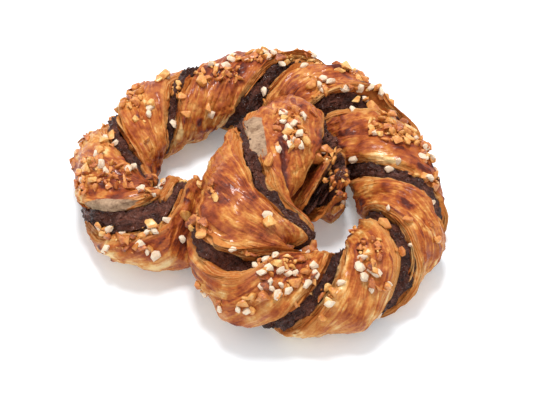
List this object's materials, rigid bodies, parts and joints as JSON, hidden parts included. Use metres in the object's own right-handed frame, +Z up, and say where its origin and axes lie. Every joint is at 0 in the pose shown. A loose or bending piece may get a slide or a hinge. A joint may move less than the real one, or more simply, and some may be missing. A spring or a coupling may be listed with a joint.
{
  "type": "chocolate danish pretzel",
  "caption": "Twisted danish pastry pretzel of laminated dough with chocolate filling, its ends crossed, strewn with chopped nuts and sugar nibs.",
  "frame": {"origin": "middle of the footprint, on the surface that the pastry rests on", "axes": "+Z up; +X to the right as the pastry is seen from the front; +Y towards the back"},
  "size_m": [0.1483, 0.1387, 0.0446],
  "materials": {
    "baked_dough": "satin",
    "chocolate": "satin"
  },
  "bodies": {
    "root": {"pastry": "baked_dough", "chocolate_filling": "chocolate"}
  },
  "joints": []
}
